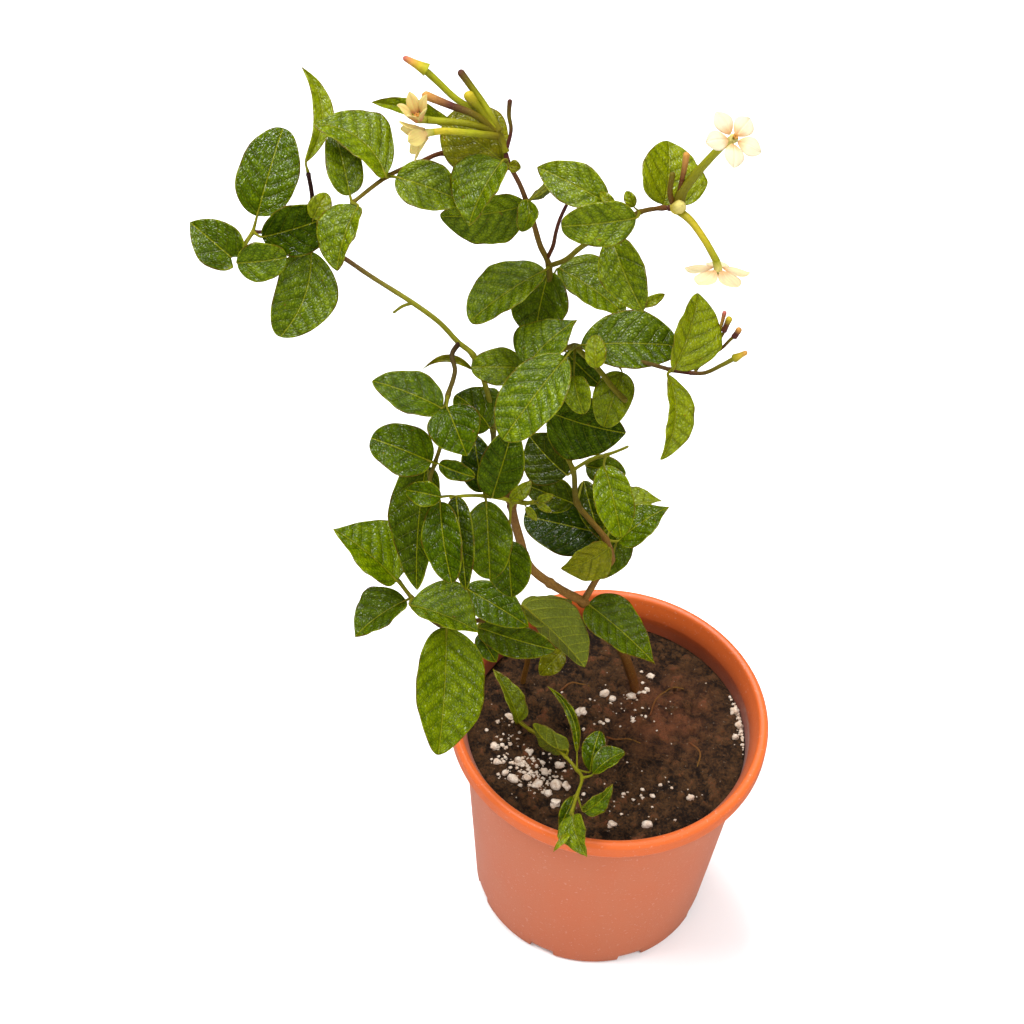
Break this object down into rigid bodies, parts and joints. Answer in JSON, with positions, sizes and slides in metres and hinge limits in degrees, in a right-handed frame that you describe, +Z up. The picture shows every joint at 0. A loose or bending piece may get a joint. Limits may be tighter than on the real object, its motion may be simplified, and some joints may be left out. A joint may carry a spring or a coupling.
{
  "type": "potted rangoon creeper",
  "caption": "Young rangoon creeper climbing from an orange nursery pot, with waved leaves on thin shoots and star-shaped flowers on long tubes.",
  "frame": {"origin": "middle of the pot's underside, on the surface that it stands on", "axes": "+Z up along the pot's axis, -Y towards the side that the plant is seen from, +X to the right"},
  "size_m": [0.3633, 0.2519, 0.6541],
  "materials": {
    "pot_plastic": "orange polypropylene, dusty on the wall and brighter on the rim",
    "potting_mix": "moist brown potting mix with white grains of perlite",
    "bark": "thin ribbed brown bark",
    "leaf": "glossy green upper face with sunken veins, matt grey-green underside",
    "flower_tube": "downy yellow-green, flushed with purple at the buds",
    "petal": "soft cream white, flushed with pink"
  },
  "bodies": {
    "root": {"pot": "pot_plastic", "soil": "potting_mix", "woody_stem": "bark", "shoot_crown": "leaf", "shoot_side_branch": "leaf", "shoot_upper_right": "leaf", "shoot_upper_left": "leaf", "shoot_right": "leaf", "shoot_hanging": "leaf", "shoot_low_centre": "leaf", "shoot_right_low": "leaf", "shoot_lower_left": "leaf", "leaf_at_foot": "leaf", "shoot_over_soil": "leaf", "flower_cluster_left": "flower_tube", "flower_cluster_right": "flower_tube", "bud_cluster_right": "flower_tube", "flower_left_upper": "petal", "flower_left_lower": "petal", "flower_right_upper": "petal", "flower_right_lower": "petal"}
  },
  "joints": []
}
